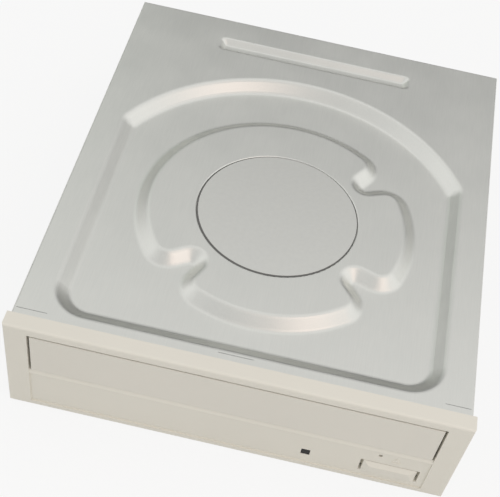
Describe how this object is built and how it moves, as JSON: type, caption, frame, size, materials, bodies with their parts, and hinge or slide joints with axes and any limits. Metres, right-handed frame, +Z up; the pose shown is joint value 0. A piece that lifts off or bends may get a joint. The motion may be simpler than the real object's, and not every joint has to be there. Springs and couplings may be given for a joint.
{
  "type": "optical disc drive",
  "caption": "Half-height internal optical disc drive: pressed steel case, ivory bezel with a tray door and eject key, sliding disc tray, tilting pickup traverse, rear connectors.",
  "frame": {"origin": "centre of the bounding box in plan, on the underside of the case", "axes": "+X right seen from the front, the bezel faces -Y, +Z up"},
  "size_m": [0.148, 0.172, 0.0418],
  "materials": {
    "case_steel": "satin galvanised sheet",
    "bezel_plastic": "fine-textured ivory moulding",
    "foil": "satin foil",
    "frame_plastic": "dark moulded frame",
    "tray_plastic": "ivory moulding",
    "gear_plastic": "natural acetal",
    "belt_rubber": "matt black rubber",
    "bright_steel": "plain steel",
    "motor_can": "plated motor can",
    "board_green": "green solder mask",
    "chip_black": "moulded epoxy",
    "connector_black": "black connector moulding",
    "connector_white": "natural connector moulding",
    "pin_metal": "gold-flashed pins",
    "cast_alloy": "die-cast sled",
    "lens_glass": "coated lens",
    "dark_plastic": "smoked clear plastic",
    "magnet_grey": "sintered magnet",
    "copper": "wound copper on a steel core",
    "ribbon": "flat ribbon film"
  },
  "bodies": {
    "chassis": {"top_cover": "case_steel", "bottom_cover": "case_steel", "label_plate": "foil", "bottom_screws": "bright_steel", "front_bezel": "bezel_plastic", "lamp_window": "dark_plastic", "main_frame": "frame_plastic", "drive_belt": "belt_rubber", "loading_motor": "motor_can", "clamp_bridge": "case_steel", "main_board": "board_green", "board_screws": "bright_steel", "board_chips": "chip_black", "front_board": "board_green", "eject_switch": "chip_black", "status_lamp": "gear_plastic", "ribbon_connectors": "connector_white", "board_ribbon": "ribbon", "data_connector": "connector_black", "data_pins": "pin_metal", "power_connector": "connector_white", "power_pins": "pin_metal", "jumper_connector": "connector_black", "audio_connector": "connector_black", "header_pins": "pin_metal"},
    "tray": {"disc_tray": "tray_plastic", "tray_door": "bezel_plastic"},
    "eject_button": {"eject_button": "bezel_plastic"},
    "tray_gear": {"tray_gear": "gear_plastic"},
    "pulley_gear": {"pulley_gear": "gear_plastic"},
    "motor_pulley": {"motor_pulley": "gear_plastic"},
    "cam_slider": {"cam_slider": "gear_plastic"},
    "traverse": {"traverse_holder": "frame_plastic", "traverse_plate": "bright_steel", "rubber_dampers": "belt_rubber", "damper_screws": "bright_steel", "spindle_base": "bright_steel", "stator_core": "copper", "guide_rods": "bright_steel", "rod_blocks": "frame_plastic", "sled_motor": "motor_can", "screw_bearing": "gear_plastic"},
    "turntable": {"rotor_cup": "motor_can", "turntable": "frame_plastic", "turntable_pad": "belt_rubber", "hub_magnet": "magnet_grey"},
    "pickup": {"pickup_sled": "cast_alloy", "sled_nut": "gear_plastic"},
    "lens": {"lens_holder": "frame_plastic", "objective_lens": "lens_glass"},
    "lead_screw": {"lead_screw": "bright_steel"},
    "clamper": {"clamper": "frame_plastic", "clamp_magnet": "magnet_grey", "clamp_yoke": "bright_steel"}
  },
  "joints": [
    {"name": "tray_slide", "type": "slide", "parent": "chassis", "child": "tray", "axis": [0, -1, 0], "range_m": [0, 0.134]},
    {"name": "tray_gear_spin", "type": "hinge", "parent": "chassis", "child": "tray_gear", "pos_m": [0.04, -0.06125, 0.02], "axis": [0, 0, -1], "range_deg": [0, 1097]},
    {"name": "pulley_gear_spin", "type": "hinge", "parent": "chassis", "child": "pulley_gear", "pos_m": [0.0192, -0.06125, 0.018], "axis": [0, 0, 1], "range_deg": [0, 3657]},
    {"name": "motor_pulley_spin", "type": "hinge", "parent": "chassis", "child": "motor_pulley", "pos_m": [-0.014, -0.06125, 0.016], "axis": [0, 0, 1], "range_deg": [0, 11561]},
    {"name": "eject_press", "type": "slide", "parent": "chassis", "child": "eject_button", "axis": [0, 1, 0], "range_m": [0, 0.0012], "stiffness_N_per_m": 400},
    {"name": "traverse_tilt", "type": "hinge", "parent": "chassis", "child": "traverse", "pos_m": [0, 0.06545, 0.014], "axis": [-1, 0, 0], "range_deg": [0, 5]},
    {"name": "cam_slide", "type": "slide", "parent": "chassis", "child": "cam_slider", "axis": [1, 0, 0], "range_m": [0, 0.018]},
    {"name": "turntable_spin", "type": "hinge", "parent": "traverse", "child": "turntable", "pos_m": [0, -0.01407, 0.01307], "axis": [0, -0.0872, 0.9962], "continuous": true},
    {"name": "pickup_slide", "type": "slide", "parent": "traverse", "child": "pickup", "axis": [0, 0.9962, 0.0872], "range_m": [0, 0.034]},
    {"name": "lead_screw_spin", "type": "hinge", "parent": "traverse", "child": "lead_screw", "pos_m": [0.0384, 0.01429, 0.01705], "axis": [0, 0.9962, 0.0872], "range_deg": [0, 4081]},
    {"name": "lens_focus", "type": "slide", "parent": "pickup", "child": "lens", "axis": [0, -0.0872, 0.9962], "range_m": [-0.0004, 0.0004], "stiffness_N_per_m": 250},
    {"name": "clamper_spin", "type": "hinge", "parent": "chassis", "child": "clamper", "pos_m": [0, -0.01385, 0.035], "axis": [0, 0, 1], "continuous": true}
  ],
  "couplings": [
    {"joint": "tray_gear_spin", "follows": "tray_slide", "rad_per_m": 142.86},
    {"joint": "pulley_gear_spin", "follows": "tray_slide", "rad_per_m": 476.19},
    {"joint": "motor_pulley_spin", "follows": "tray_slide", "rad_per_m": 1505.8},
    {"joint": "cam_slide", "follows": "traverse_tilt", "m_per_rad": 0.20626},
    {"joint": "lead_screw_spin", "follows": "pickup_slide", "rad_per_m": 2094.4}
  ]
}
